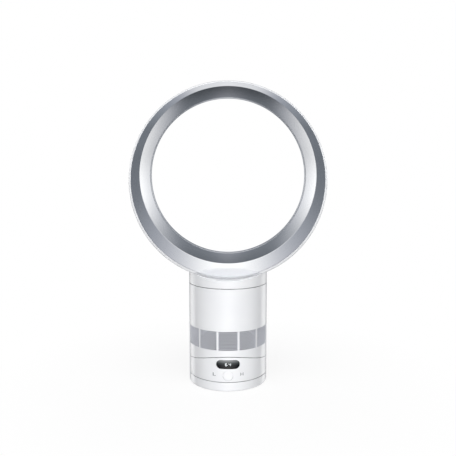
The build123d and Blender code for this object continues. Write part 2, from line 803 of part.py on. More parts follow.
def make_diffuser():
    """Motor bucket, straightening vanes and outer ring."""
    low, high = diffuser_bottom, diffuser_top
    outer = outlet_radius - seat_gap
    diffuser = tube(outer, outer - 2, low, high)
    diffuser += tube(bucket_radius, bucket_radius - bucket_wall, low, high)
    vane_reach = outer - bucket_radius
    vane_middle = bucket_radius - 1 + vane_reach / 2
    vane = block(vane_thickness, vane_reach, high - low - 2, 0, -vane_middle, low + 1)
    vane = vane.rotate(Axis((0, -vane_middle, (low + high) / 2), (0, 1, 0)), vane_lean)
    for copy in around(vane, vane_count):
        diffuser += copy
    diffuser += tube(bucket_radius - 1, bearing_radius + seat_gap, low, low + bucket_wall)
    seat = tube(bearing_radius + bearing_seat_wall, bearing_radius + seat_gap, low, low + bearing_width + 1)
    return diffuser + seat


def make_motor_bearings():
    ring = tube(bearing_radius, shaft_radius + running_gap, 0, bearing_width)
    return group([Pos(0, 0, z) * ring for z in (diffuser_bottom + 0.5, upper_bearing_bottom)])


def make_motor_stator():
    """A slotted iron core with its windings, pressed into the bucket."""
    stator = tube(stator_radius, stator_bore, stator_bottom, stator_bottom + stator_height)
    slot_length = stator_wall - stator_yoke
    slot = block(stator_slot_width, slot_length, stator_height + 2, 0, -(stator_bore + slot_length / 2 - 1),
                 stator_bottom - 1)
    for cut in around(slot, stator_slot_count):
        stator -= cut
    return stator


def dome(radius, rise, foot):
    """A shallow dome about the pillar's axis, part of a sphere."""
    sphere = (radius**2 + rise**2) / (2 * rise)
    middle = (radius * 0.7, foot + sqrt(sphere**2 - (radius * 0.7) ** 2) - sphere + rise)
    return spun([Line((0, foot), (radius, foot)), ThreePointArc((radius, foot), middle, (0, foot + rise)),
                 Line((0, foot + rise), (0, foot))])


def make_motor_cap():
    """A domed cap on the motor bucket, with the seat of the upper bearing."""
    cap = dome(bucket_radius, cap_rise, diffuser_top)
    cap -= dome(bucket_radius - bucket_wall, cap_rise - cap_wall, diffuser_top)
    seat_top = diffuser_top + cap_rise - cap_wall / 2
    return cap + tube(bearing_radius + bearing_seat_wall, bearing_radius + seat_gap, upper_bearing_bottom, seat_top)


def make_neck_ring():
    """The bayonet's socket: a ring with hooks that reach in over the loop's lugs."""
    ring = tube(seated_radius, neck_ring_inside, seal_bottom, neck_ring_top)
    hook = tube(neck_ring_inside + 0.5, spigot_radius + hook_gap, hook_bottom, neck_ring_top)
    hook &= sector(seated_radius, hook_angle, hook_bottom, neck_ring_top)
    for copy in around(hook, lug_count):
        ring += copy
    return ring


def make_neck_seal():
    inner = spigot_radius - spigot_wall
    return tube(neck_ring_inside - seat_gap, inner, seal_bottom, seal_bottom + seal_thickness)


# ---- Impeller ------------------------------------------------------------------------------------

def impeller_curve(offset):
    low = shroud_bottom + 1.0
    high = low + impeller_height
    span = inner_at_height(high) - inner_at_height(low)
    middle = inner_at_height((low + high) / 2)
    return [(inner_at_height(low) + offset, low), (middle + offset, (low + high) / 2),
            (inner_at_height(low) + span + offset, high)]


def inner_at_height(z):
    """Radius of the shroud's inner face at a height, on the arc through its three points."""
    (r0, z0), (r1, z1), (r2, z2) = shroud_curve(0)
    t = (z - z0) / (z2 - z0)
    return r0 * (1 - t) * (1 - 2 * t) + 4 * r1 * t * (1 - t) + r2 * t * (2 * t - 1)


def make_impeller():
    """A mixed-flow impeller: a cone with backward-curved blades inside the shroud."""
    edge = impeller_curve(-blade_gap)
    low, high = edge[0][1], edge[2][1]
    hub_arc = ThreePointArc((hub_nose_radius, low + 2), (hub_rear_radius * 0.55, (low + high) / 2),
                            (hub_rear_radius, high))
    hub = spun([Line((0, low + 2), (hub_nose_radius, low + 2)), hub_arc,
                Line((hub_rear_radius, high), (0, high)), Line((0, high), (0, low + 2))])
    space = spun([Line((hub_nose_radius - 4, low), edge[0]), ThreePointArc(*edge),
                  Line(edge[2], (hub_nose_radius - 4, high)),
                  Line((hub_nose_radius - 4, high), (hub_nose_radius - 4, low))])
    start, end = hub_nose_radius - 3, outlet_radius + 2
    middle = (start + end) / 2

    def at(radius, angle):
        return (radius * cos(radians(angle)), radius * sin(radians(angle)))

    front = ThreePointArc(at(start, 0), at(middle, blade_sweep * 0.4), at(end, blade_sweep))
    rear = ThreePointArc(at(end, blade_sweep + blade_lean), at(middle, blade_sweep * 0.4 + blade_lean),
                         at(start, blade_lean + 4))
    outline = make_face([front, Line(front @ 1, rear @ 0), rear, Line(rear @ 1, front @ 0)])
    blade = Pos(0, 0, low) * extrude(outline, high - low) & space
    wheel = hub
    for copy in around(blade, blade_count):
        wheel += copy
    return wheel - rod(shaft_radius + 0.01, low - 1, high + 1)


def make_motor_shaft():
    return rod(shaft_radius, shroud_bottom + 2, upper_bearing_bottom + bearing_width)


def make_motor_rotor():
    return tube(stator_bore - rotor_gap, shaft_radius + 0.01, stator_bottom, stator_bottom + stator_height)


# ---- Loop ----------------------------------------------------------------------------------------

def loop_disc(radius, y, centre_z):
    """A flat disc across the loop's axis."""
    return Plane(origin=(0, y, centre_z), x_dir=(1, 0, 0), z_dir=(0, 1, 0)) * Circle(radius)


def loop_spun(outline):
    """A solid turned about the opening's axis from an outline in radius and y."""
    axis = Axis((0, 0, opening_centre_z), (0, 1, 0))
    return revolve(Pos(0, 0, opening_centre_z) * make_face(outline), axis)


def casing_solid(inset, lead=0.0):
    """The casing's outline turned about its own centre: a rounded front, a long curve to the rear."""
    radius = loop_radius - inset
    front = trim_radius - inset
    rear = rear_y - max(inset, 0)
    front_run = wide_front_y - casing_front_y
    rear_run = rear - wide_rear_y
    front_arc = EllipticalCenterArc((front, wide_front_y), radius - front, front_run, -90, arc_size=90)
    rear_arc = EllipticalCenterArc((rear_radius, wide_rear_y), radius - rear_radius, rear_run, 0, arc_size=90)
    outline = [front_arc, Line((radius, wide_front_y), (radius, wide_rear_y)), rear_arc,
               Line((rear_radius, rear), (0, rear)), Line((0, rear), (0, casing_front_y - lead)),
               Line((0, casing_front_y - lead), (front, casing_front_y - lead))]
    if lead:
        outline.append(Line((front, casing_front_y - lead), (front, casing_front_y)))
    axis = Axis((0, 0, casing_centre_z), (0, 1, 0))
    return revolve(Pos(0, 0, casing_centre_z) * make_face(outline), axis)


def lip_outline(offset, tip_y):
    """The rear lip: straight from its tip, then flared out to the rear rim."""
    rim = lip_radius + rear_flat
    knee = (lip_radius + rear_flat * 0.3, lip_bend_y + (rear_y - lip_bend_y) * 0.7)
    return [(lip_radius + offset, tip_y), (lip_radius + offset, lip_bend_y), (knee[0] + offset, knee[1]),
            (rim + offset, rear_y)]


def make_loop_casing():
    """The white outer shell, from the front trim round the back to the rear lip."""
    tip, bend, knee, rim = lip_outline(0, lip_tip_y)
    out_tip, out_bend, out_knee, out_rim = lip_outline(lip_wall, lip_tip_y)
    hollow = casing_solid(loop_wall, 1.0)
    lip = loop_spun([Line(tip, bend), ThreePointArc(bend, knee, rim), Line(rim, out_rim),
                     ThreePointArc(out_rim, out_knee, out_bend), Line(out_bend, out_tip), Line(out_tip, tip)])
    before, behind = crest_y - 5, rear_y + 5
    hole = loop_spun([Line((0, before), (lip_radius, before)), Line((lip_radius, before), bend),
                      ThreePointArc(bend, knee, rim), Line(rim, (rim[0], behind)),
                      Line((rim[0], behind), (0, behind)), Line((0, behind), (0, before))])
    casing = casing_solid(0) - hole - hollow + lip
    inlet = rod(spigot_radius - spigot_wall - 1, shoulder_z - 20, shoulder_z + 14)
    inlet &= block(4 * pillar_radius, neck_opening_depth, 4 * pillar_radius, 0, neck_opening_y, 0)
    return casing - inlet


def make_loop_front_trim():
    """The silver front band: its edges aren't concentric, so it is narrow at the top and wide below."""
    def cone(shift):
        faces = [loop_disc(crest_radius, crest_y + shift, opening_centre_z),
                 loop_disc(trim_radius, trim_y + shift, casing_centre_z)]
        return loft(faces, ruled=True)
    back = extrude(loop_disc(trim_radius, trim_y, casing_centre_z), trim_thickness)
    trim = cone(0) + back - cone(trim_thickness)
    return trim - extrude(loop_disc(crest_radius, crest_y - 5, opening_centre_z), trim_setback + 10)


def make_loop_inner_ring():
    """The silver flared surface that the air runs along, from the slot to the crest."""
    tail_radius = lip_radius + lip_wall + slot_gap
    tail_y = lip_tip_y + slot_overlap
    tuck = ((tail_radius + waist_radius) / 2 - 0.5, (lip_tip_y + waist_y) / 2)
    inside = [(tail_radius, tail_y), (tail_radius, lip_tip_y), tuck, (waist_radius, waist_y),
              (crest_radius, crest_y)]
    wall = trim_thickness
    outside = [(radius + wall, y) for radius, y in inside]
    under_trim = (crest_radius, crest_y + wall)
    shoulder = (crest_radius + wall, crest_y + wall + 0.6)
    return loop_spun([Line(inside[0], inside[1]), ThreePointArc(*inside[1:4]), Line(inside[3], inside[4]),
                      Line(inside[4], under_trim), Line(under_trim, shoulder), Line(shoulder, outside[3]),
                      ThreePointArc(outside[3], outside[2], outside[1]), Line(outside[1], outside[0]),
                      Line(outside[0], inside[0])])


def make_slot_spacers():
    """Small ribs in the air slot that keep it open to one width."""
    inner = lip_radius + lip_wall + 0.02
    outer = inner + slot_gap - 0.04
    start = lip_tip_y + 1.0
    length = slot_overlap - 2.0
    spacers = []
    for turn in range(spacer_count):
        angle = (turn + 0.5) * 360 / spacer_count
        rib = Box(spacer_width, length, outer - inner)
        rib = Pos(0, start + length / 2, (inner + outer) / 2) * rib
        spacers.append(Pos(0, 0, opening_centre_z) * Rot(0, angle, 0) * rib)
    return group(spacers)


def shoulder_drum(radius):
    """A level drum along Y that gives the collar's top its curve."""
    return Pos(0, 0, casing_centre_z) * Rot(90, 0, 0) * Cylinder(radius, 4 * pillar_radius)


def shoulder_shelf(radius):
    """A cone along Y: the collar's top falls from its front edge to the seam under the trim."""
    fall = (trim_radius + collar_seam - collar_step - radius) / (pillar_radius + trim_y - collar_trim_gap)
    reach = 2 * pillar_radius
    ends = [loop_disc(radius + fall * (y + pillar_radius), y, casing_centre_z) for y in (-reach, reach)]
    return loft(ends, ruled=True)


def before(y):
    """All that is in front of a place along Y, at the collar's height."""
    return block(4 * pillar_radius, 2 * pillar_radius, 100, 0, y - pillar_radius, collar_bottom - 1)


def make_loop_collar():
    """Collar under the loop, with the deck, spigot and lugs that lock it to the fan body."""
    shoulder_radius = casing_centre_z - shoulder_z
    top = casing_centre_z - shoulder_radius + 20
    whole = rod(pillar_radius, collar_bottom, top)
    whole = fillet(whole.edges().group_by(Axis.Z)[0], edge_round)
    ahead = before(trim_y + 1)
    outside = seam_rounded(whole - shoulder_drum(shoulder_radius)) - ahead
    outside += seam_rounded(whole - shoulder_shelf(shoulder_radius)) & ahead
    inside = rod(inner_radius, collar_bottom + collar_deck, top + 1)
    roof = shoulder_drum(shoulder_radius + loop_wall)
    roof += shoulder_drum(trim_radius + collar_ledge) & before(neck_opening_y - neck_opening_depth / 2)
    collar = outside - (inside - roof)
    collar += rod(spigot_radius, spigot_bottom, collar_bottom + collar_deck)
    lug = tube(spigot_radius + lug_reach, spigot_radius - 0.5, lug_bottom, lug_bottom + lug_height)
    lug &= sector(pillar_radius, lug_angle, lug_bottom, lug_bottom + lug_height)
    for copy in around(lug, lug_count):
        collar += copy
    collar -= rod(spigot_radius - spigot_wall, spigot_bottom - 1, collar_bottom + collar_deck + 1)
    collar -= casing_solid(-0.05)
    seam = casing_solid(-collar_seam, trim_thickness + collar_trim_gap)
    return collar - (seam & before(casing_front_y + collar_seam_depth))


# ---- Every node ----------------------------------------------------------------------------------

MAKERS = {
    "lower_base_shell": make_lower_base_shell,
    "base_plate": make_base_plate,
    "base_screws": make_base_screws,
    "rubber_feet": make_rubber_feet,
    "cable_gland": make_cable_gland,
    "thrust_ring": make_thrust_ring,
    "sun_gear": make_sun_gear,
    "gear_screws": make_gear_screws,
    "control_housing": make_control_housing,
    "housing_floor": make_housing_floor,
    "housing_screws": make_housing_screws,
    "display_lens": make_display_lens,
    "display_module": make_display_module,
    "control_board": make_control_board,
    "control_screws": make_control_screws,
    "button_switch": make_button_switch,
    "power_board": make_power_board,
    "power_screws": make_power_screws,
    "oscillation_motor": make_oscillation_motor,
    "motor_screws": make_motor_screws,
    "drive_pinion": make_drive_pinion,
    "pinion_shaft": make_pinion_shaft,
    "power_button": make_power_button,
    "body_shell": make_body_shell,
    "inlet_panels": make_inlet_panels,
    "body_floor": make_body_floor,
    "body_floor_screws": make_body_floor_screws,
    "tilt_runners": make_tilt_runners,
    "runner_screws": make_runner_screws,
    "floor_foam": make_floor_foam,
    "foam_lining": make_foam_lining,
    "impeller_housing": make_impeller_housing,
    "housing_mount": make_housing_mount,
    "diffuser": make_diffuser,
    "motor_bearings": make_motor_bearings,
    "motor_stator": make_motor_stator,
    "motor_cap": make_motor_cap,
    "neck_ring": make_neck_ring,
    "neck_seal": make_neck_seal,
    "impeller": make_impeller,
    "motor_shaft": make_motor_shaft,
    "motor_rotor": make_motor_rotor,
    "loop_collar": make_loop_collar,
    "loop_casing": make_loop_casing,
    "loop_front_trim": make_loop_front_trim,
    "loop_inner_ring": make_loop_inner_ring,
    "slot_spacers": make_slot_spacers,
}

os.makedirs("parts", exist_ok=True)
for name, make in MAKERS.items():
    export_step(make(), "parts/" + name + ".step")
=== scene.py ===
"""A bladeless table fan in its finishes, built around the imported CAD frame. Sizes are in millimetres."""
import json
from math import cos, pi, radians, sin, sqrt

import bpy
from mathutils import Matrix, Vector


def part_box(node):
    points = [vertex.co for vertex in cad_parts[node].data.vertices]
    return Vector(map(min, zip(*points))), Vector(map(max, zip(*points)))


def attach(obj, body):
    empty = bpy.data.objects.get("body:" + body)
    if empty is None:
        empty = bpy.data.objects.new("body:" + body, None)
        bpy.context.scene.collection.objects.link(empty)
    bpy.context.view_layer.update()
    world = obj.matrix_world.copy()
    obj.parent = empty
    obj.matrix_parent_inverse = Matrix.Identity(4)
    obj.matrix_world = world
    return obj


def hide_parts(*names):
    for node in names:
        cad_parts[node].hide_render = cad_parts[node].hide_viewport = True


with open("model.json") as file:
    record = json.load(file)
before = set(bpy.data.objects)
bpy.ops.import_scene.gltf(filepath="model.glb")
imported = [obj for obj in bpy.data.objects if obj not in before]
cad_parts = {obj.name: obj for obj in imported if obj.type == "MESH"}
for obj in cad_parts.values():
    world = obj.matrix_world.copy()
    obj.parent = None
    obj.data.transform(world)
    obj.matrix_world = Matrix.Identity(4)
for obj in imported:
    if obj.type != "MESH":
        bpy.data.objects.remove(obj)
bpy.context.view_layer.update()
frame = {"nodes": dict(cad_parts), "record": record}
nodes = frame["nodes"]

# ---- Sizes: the frame gives the outer ones, and the rest are the real object's own ---------------

MM = 0.001


def box_mm(name):
    """A node's lowest and highest corners."""
    low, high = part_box(name)
    return low / MM, high / MM


pillar_radius = box_mm("body_shell")[1].x
grille_bottom, grille_top = (corner.z for corner in box_mm("inlet_panels"))
casing_low, casing_high = box_mm("loop_casing")
trim_low, trim_high = box_mm("loop_front_trim")
loop_radius = casing_high.x
casing_centre = casing_high.z - loop_radius
rear_y = casing_high.y
crest_y = trim_low.y
trim_inset = 1.4                # the silver ends a little inside the solid trim's edge
trim_radius = trim_high.x - trim_inset
trim_lift = 1.7                 # its edge's centre lies this far above the casing's
trim_thickness = 2.0
trim_seat = 0.3                 # how deep the trim's edge sits in the casing
casing_front_y = casing_low.y
trim_y = casing_front_y - trim_thickness
loop_drop = 8.0                 # the opening's centre lies this far above the casing's
opening_centre = casing_centre + loop_drop
opening_radius = 145.0
flare_width = 10.5
crest_lift = 2.5                # the crest's centre lies this far above the opening's
rear_taper = 15.0               # width of the casing's rounded rear corner
rear_flat = 5.0                 # how far the lip flares out at the back
wide_front_y = -26.0            # the casing is widest from here
wide_rear_y = -16.0             # to here
rim_radius = trim_high.x + 0.7  # the casing's front rounds off from here
rim_flat = 0.6                  # and is quite flat this far inside that
rim_drop = 0.4                  # between the flat and the start of the rounding
waist_y = 20.0                  # where the silver ring is narrowest
flare_curve = 0.15              # the flare opens a little more towards the crest
loop_wall = 2.5
lip_wall = 1.2
lip_tip_y = 26.0
lip_bend_y = 38.0               # the lip is straight up to here and then flares
lip_inset = 0.6                 # between the lip's mouth and the flat of the back
lip_round = 0.5                 # the corner there
lip_foot = 3.0                  # the slope between the lip and the rear wall, inside
lacquer_reach = 0.5             # how far past the opening's radius the lip is silver
lacquer_fade = 0.1
crest_gap = 0.02                # between the trim and the ring, which meet at the crest
crest_hem = 2.6                 # how deep the ring's front edge is folded back
slot_gap = 1.2                  # the air slot between the lip and the silver ring
slot_overlap = 8.0              # how far the silver ring reaches behind the lip's tip
seam_gap = 0.9                  # between casings that move on each other
swivel_seam_z = box_mm("control_housing")[0].z - seam_gap / 2
collar_seam_z = box_mm("body_shell")[1].z + seam_gap / 2
seam_reach = 0.5                # how far from a seam's middle its painted shade reaches
seam_fade = 0.2                 # over which the painted shade fades out
fine_bevel = 0.3                # edges of the trim and the display window
merge_distance = 0.004          # corners nearer to each other than this become one
ring_steps = 288                # facets round the loop

# ---- Camera --------------------------------------------------------------------------------------

camera_distance = 1.115         # metres in front of the pillar's axis
camera_height = 0.4133
camera_dip = 6.444              # degrees below level
camera_lens = 47.73
sensor_width = 36


def make_camera():
    bpy.ops.object.camera_add(location=(0, -camera_distance, camera_height),
                              rotation=(radians(90 - camera_dip), 0, 0))
    camera = bpy.context.active_object
    camera.data.lens = camera_lens
    camera.data.sensor_width = sensor_width
    bpy.context.scene.camera = camera


# ---- Shader helpers ------------------------------------------------------------------------------

def colour(text):
    """An sRGB hex colour as linear numbers."""
    channels = [int(text[i:i + 2], 16) / 255 for i in (1, 3, 5)]
    return tuple(c / 12.92 if c <= 0.04045 else ((c + 0.055) / 1.055) ** 2.4 for c in channels) + (1.0,)


def node(tree, kind, links=(), stops=(), **settings):
    """Adds a node. A setting named after an input sets that input.

    links pair inputs with output sockets or numbers, and stops pair a ramp's positions with colours."""
    new = tree.nodes.new(kind)
    for name, value in settings.items():
        if hasattr(new, name):
            setattr(new, name, value)
        else:
            new.inputs[name.replace("_", " ")].default_value = value
    for name, source in links:
        if isinstance(source, bpy.types.NodeSocket):
            tree.links.new(source, new.inputs[name])
        else:
            new.inputs[name].default_value = source
    if stops:
        elements = new.color_ramp.elements
        while len(elements) < len(stops):
            elements.new(0.5)
        for element, (position, shade) in zip(elements, stops):
            element.position = position
            element.color = shade
    return new


def material(name):
    """A new material with only its shader, and the tree to build on."""
    new = bpy.data.materials.new(name)
    new.use_nodes = True
    tree = new.node_tree
    return new, tree, tree.nodes["Principled BSDF"]


def set_shader(shader, **values):
    """Sets the shader's inputs."""
    for name, value in values.items():
        shader.inputs[name.replace("_", " ")].default_value = value


def own_place(tree):
    """The place on the piece, which each pattern follows."""
    return node(tree, "ShaderNodeTexCoord").outputs["Object"]


def patches(tree, size_mm, detail=2.0, rough=0.5):
    """Soft uneven patches about size_mm across, from 0 to 1."""
    return node(tree, "ShaderNodeTexNoise", [("Vector", own_place(tree))],
                Scale=1 / (size_mm * MM), Detail=detail, Roughness=rough).outputs["Fac"]


def tinted(tree, shader, pattern, stops):
    """Colours the surface by a pattern, through (level, hex) stops."""
    tone = node(tree, "ShaderNodeValToRGB", [("Fac", pattern)],
                [(level, colour(text)) for level, text in stops]).outputs["Color"]
    tree.links.new(tone, shader.inputs["Base Color"])
    return tone


def roughened(tree, shader, pattern, low, high):
    """Lets the roughness follow a pattern, between two values."""
    spread = node(tree, "ShaderNodeMapRange", [("Value", pattern)], To_Min=low, To_Max=high)
    tree.links.new(spread.outputs["Result"], shader.inputs["Roughness"])


def embossed(tree, shader, pattern, depth_mm, strength):
    """Raises the surface where a pattern is bright."""
    relief = node(tree, "ShaderNodeBump", [("Height", pattern)], Strength=strength, Distance=depth_mm * MM)
    tree.links.new(relief.outputs["Normal"], shader.inputs["Normal"])


# ---- Finishes ------------------------------------------------------------------------------------

def gloss_abs(name="gloss-moulded white ABS"):
    """Gloss-moulded white ABS: a bright, hard skin with the faint waviness of a polished mould.

    Painted shade greys it in a narrow band at each level seam."""
    new, tree, shader = material(name)
    tone = tinted(tree, shader, patches(tree, 60), [(0.3, "#EDEEF1"), (0.7, "#F0F1F3")])
    height = node(tree, "ShaderNodeSeparateXYZ", [("Vector", own_place(tree))]).outputs["Z"]
    # Painted shade: a band of grey #B4B6BA at the height of each level seam stands in for the shade inside
    # the seam.
    for seam_z in (swivel_seam_z, collar_seam_z):
        above = node(tree, "ShaderNodeMath", [(0, height), (1, seam_z * MM)], operation="SUBTRACT")
        away = node(tree, "ShaderNodeMath", [(0, above.outputs[0])], operation="ABSOLUTE")
        painted_seam_shade = node(tree, "ShaderNodeMapRange", [("Value", away.outputs[0])], From_Min=seam_reach * MM,
                    From_Max=(seam_reach + seam_fade) * MM, To_Min=1.0, To_Max=0.0)
        seam_shaded = node(tree, "ShaderNodeMix", [("Factor", painted_seam_shade.outputs["Result"]), ("A", tone)],
                     data_type="RGBA", B=colour("#B4B6BA"))
        tone = seam_shaded.outputs["Result"]
    tree.links.new(tone, shader.inputs["Base Color"])
    roughened(tree, shader, patches(tree, 9), 0.16, 0.22)
    set_shader(shader, IOR=1.53, Coat_Weight=0.35, Coat_Roughness=0.06)
    embossed(tree, shader, patches(tree, 14, 1.0), 0.02, 0.25)
    return new, tree, shader


def part_lacquered_abs():
    """White ABS whose rear lip has the silver lacquer on its inner face, masked off where the lip flares."""
    new, tree, shader = gloss_abs("white ABS with a lacquered lip")
    centred = node(tree, "ShaderNodeMapping", [("Vector", own_place(tree))],
                   Location=(0, 0, -opening_centre * MM), Scale=(1, 0, 1))
    reach = node(tree, "ShaderNodeVectorMath", [("Vector", centred.outputs["Vector"])], operation="LENGTH")
    lacquered = node(tree, "ShaderNodeMapRange", [("Value", reach.outputs["Value"])],
                     From_Min=(opening_radius + lacquer_reach) * MM,
                     From_Max=(opening_radius + lacquer_reach + lacquer_fade) * MM,
                     To_Min=1.0, To_Max=0.0).outputs["Result"]
    white_tone = shader.inputs["Base Color"].links[0].from_socket
    tone = node(tree, "ShaderNodeMix", [("Factor", lacquered), ("A", white_tone)],
                data_type="RGBA", B=colour("#F6F7F9"))
    tree.links.new(tone.outputs["Result"], shader.inputs["Base Color"])
    tree.links.new(lacquered, shader.inputs["Metallic"])
    return new


def silver_lacquer():
    """Metallic silver lacquer on ABS: fine flakes lie along the surface and soften what it mirrors.

    Real flakes are a few hundredths of a millimetre, too fine to show, so these are coarser."""
    new, tree, shader = material("metallic silver lacquer")
    flakes = patches(tree, 0.5, 3.0, 0.7)
    tinted(tree, shader, flakes, [(0.35, "#F3F4F6"), (0.65, "#FAFBFC")])
    roughened(tree, shader, flakes, 0.18, 0.24)
    set_shader(shader, Metallic=1.0, Coat_Weight=0.15, Coat_Roughness=0.08)
    embossed(tree, shader, flakes, 0.01, 0.2)
    return new


def abs_with_painted_hole_shade():
    """White ABS with painted shade for its thousands of fine holes: greyer than the casing, without its
    gloss.
    """
    new, tree, shader = material("white ABS with painted hole shade")
    # Painted shade: the grey stands in for the shade inside fine holes that are not modelled.
    tinted(tree, shader, patches(tree, 40), [(0.3, "#C8CAD1"), (0.7, "#CED0D7")])
    roughened(tree, shader, patches(tree, 2), 0.5, 0.6)
    set_shader(shader, IOR=1.53, Specular_IOR_Level=0.3)
    return new


def smoked_acrylic():
    """Polished smoked acrylic: almost black, with a painted highlight that makes it paler towards the
    middle of its upper edge."""
    new, tree, shader = material("smoked acrylic")
    low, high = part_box("display_lens")
    across, tall = 2 * (high.x - low.x), high.z - low.z
    centred = node(tree, "ShaderNodeMapping", [("Vector", own_place(tree))],
                   Location=(0, 0, -high.z / tall), Scale=(1 / across, 0, 1 / tall))
    reach = node(tree, "ShaderNodeVectorMath", [("Vector", centred.outputs["Vector"])], operation="LENGTH")
    # Painted highlight: the tone pales from near black towards the middle of the window's upper edge.
    tinted(tree, shader, reach.outputs["Value"],
           [(0.08, "#86898A"), (0.4, "#383B3C"), (0.62, "#0E1011"), (0.85, "#000000")])
    roughened(tree, shader, patches(tree, 3), 0.08, 0.12)
    set_shader(shader, IOR=1.49, Coat_Weight=0.1, Coat_Roughness=0.03)
    return new


def moulded(name, low, high, rough):
    """A matt moulding: an even colour broken by the fine grain of an eroded mould."""
    new, tree, shader = material(name)
    grain = patches(tree, 0.6, 3.0)
    tinted(tree, shader, patches(tree, 25), [(0.3, low), (0.7, high)])
    roughened(tree, shader, grain, rough - 0.06, rough + 0.06)
    set_shader(shader, IOR=1.5)
    embossed(tree, shader, grain, 0.03, 0.5)
    return new


def bare_metal(name, low, high, rough):
    """Bare or plated metal with fine rolling or grinding marks."""
    new, tree, shader = material(name)
    marks = patches(tree, 0.8, 4.0, 0.6)
    tinted(tree, shader, marks, [(0.3, low), (0.7, high)])
    roughened(tree, shader, marks, rough - 0.08, rough + 0.08)
    set_shader(shader, Metallic=1.0)
    embossed(tree, shader, marks, 0.01, 0.3)
    return new


def open_foam():
    """Open-cell acoustic foam: dark cells about 1.5 mm across with thin bright edges."""
    new, tree, shader = material("open-cell acoustic foam")
    cells = node(tree, "ShaderNodeTexVoronoi", [("Vector", own_place(tree))],
                 Scale=1 / (1.5 * MM)).outputs["Distance"]
    tinted(tree, shader, cells, [(0.1, "#17181A"), (0.6, "#3C3D40")])
    set_shader(shader, Roughness=0.95, Specular_IOR_Level=0.2)
    embossed(tree, shader, cells, 0.8, 0.8)
    return new


def wound_copper():
    """Enamelled copper wire on steel laminations: fine turns about 0.5 mm apart."""
    new, tree, shader = material("enamelled copper winding")
    bands_per_unit = 0.314          # a wave texture's scale for one band in each unit of length
    turns = node(tree, "ShaderNodeTexWave", [("Vector", own_place(tree))], wave_type="BANDS",
                 bands_direction="Z", Scale=bands_per_unit / (0.5 * MM), Distortion=0.6).outputs["Fac"]
    tinted(tree, shader, turns, [(0.0, "#6E3A1E"), (1.0, "#C9794A")])
    set_shader(shader, Metallic=0.85, Roughness=0.38)
    embossed(tree, shader, turns, 0.1, 0.6)
    return new


def glowing_segment():
    """A lit segment behind smoked acrylic: an even cool white."""
    new, tree, shader = material("lit white display segment")
    tinted(tree, shader, patches(tree, 0.8), [(0.2, "#D9DEE2"), (0.8, "#E6EAED")])
    set_shader(shader, Roughness=0.4, Emission_Color=colour("#E8ECEF"), Emission_Strength=0.55)
    return new


def pad_print():
    """Grey pad-printing ink: matt, a little uneven in tone."""
    new, tree, shader = material("grey printing ink")
    tinted(tree, shader, patches(tree, 0.4), [(0.2, "#585B61"), (0.8, "#666970")])
    set_shader(shader, Roughness=0.5)
    return new


# ---- Modelling helpers ---------------------------------------------------------------------------

def edit(piece, test=None):
    """Opens the piece in edit mode with the vertices selected whose place, in millimetres, passes."""
    bpy.ops.object.mode_set(mode="EDIT")
    bpy.ops.mesh.select_mode(type="VERT")
    bpy.ops.mesh.select_all(action="SELECT" if test is None else "DESELECT")
    if test is not None:
        bpy.ops.object.mode_set(mode="OBJECT")
        for vertex in piece.data.vertices:
            vertex.select = test(vertex.co / MM)
        bpy.ops.object.mode_set(mode="EDIT")


def close():
    """Leaves edit mode."""
    bpy.ops.object.mode_set(mode="OBJECT")


def start(name):
    """Names the primitive just added and puts its place in its mesh."""
    piece = bpy.context.active_object
    piece.name = piece.data.name = name
    bpy.ops.object.transform_apply(location=True, rotation=True, scale=True)
    return piece


def deselect():
    """Leaves nothing selected, as an operator acts on all that is."""
    bpy.ops.object.select_all(action="DESELECT")


def add_circle(radius, vertices, **settings):
    """A flat circle on its own selected, its size in millimetres."""
    deselect()
    bpy.ops.mesh.primitive_circle_add(vertices=vertices, radius=radius * MM, **settings)


def pick(*pieces):
    """Selects these objects, the first as the active one."""
    deselect()
    for piece in pieces:
        piece.select_set(True)
    bpy.context.view_layer.objects.active = pieces[0]


def applied(piece, kind, **settings):
    """Adds a modifier with its settings and applies it."""
    pick(piece)
    modifier = piece.modifiers.new(kind.title(), kind)
    for name, value in settings.items():
        setattr(modifier, name, value)
    bpy.ops.object.modifier_apply(modifier=modifier.name)


def smoothed(piece, angle=35):
    """Shades the piece smooth where it bends less than this many degrees."""
    pick(piece)
    bpy.ops.object.shade_smooth_by_angle(angle=radians(angle))
    return piece


def bevelled(piece, width):
    """Rounds the piece's sharp edges."""
    applied(piece, "BEVEL", width=width * MM, segments=3, limit_method="ANGLE", angle_limit=radians(35),
            use_clamp_overlap=True)


def copied(piece, name):
    """A copy of the piece with its own mesh."""
    pick(piece)
    bpy.ops.object.duplicate()
    copy = bpy.context.active_object
    copy.name = copy.data.name = name
    return copy


def moved(piece, x=0.0, y=0.0, z=0.0):
    """Shifts the piece's mesh by so many millimetres."""
    pick(piece)
    edit(piece)
    bpy.ops.transform.translate(value=(x * MM, y * MM, z * MM))
    close()
    return piece


def joined(*pieces):
    """Joins the pieces into the first and merges the corners that they share."""
    pick(*pieces)
    bpy.ops.object.join()
    edit(pieces[0])
    bpy.ops.mesh.remove_doubles(threshold=merge_distance * MM)
    close()
    return pieces[0]


def repeated(piece, count, x=0.0, z=0.0):
    """A row of copies in one mesh."""
    applied(piece, "ARRAY", count=count, use_relative_offset=False, use_constant_offset=True,
            constant_offset_displace=(x * MM, 0, z * MM), use_merge_vertices=True,
            merge_threshold=merge_distance * MM)
    return piece


def wrapped(piece, radius):
    """Bends a flat piece that faces the front at y = 0 onto the pillar's curve."""
    width = piece.dimensions.x / MM
    applied(piece, "SIMPLE_DEFORM", deform_method="BEND", deform_axis="Z", angle=width / radius)
    return moved(piece, y=-radius)


def arc(centre, radii, start_angle, end_angle, count):
    """Points on an ellipse's arc, its angles in degrees."""
    turns = [radians(start_angle + (end_angle - start_angle) * i / count) for i in range(count + 1)]
    return [(centre[0] + radii[0] * cos(a), centre[1] + radii[1] * sin(a)) for a in turns]


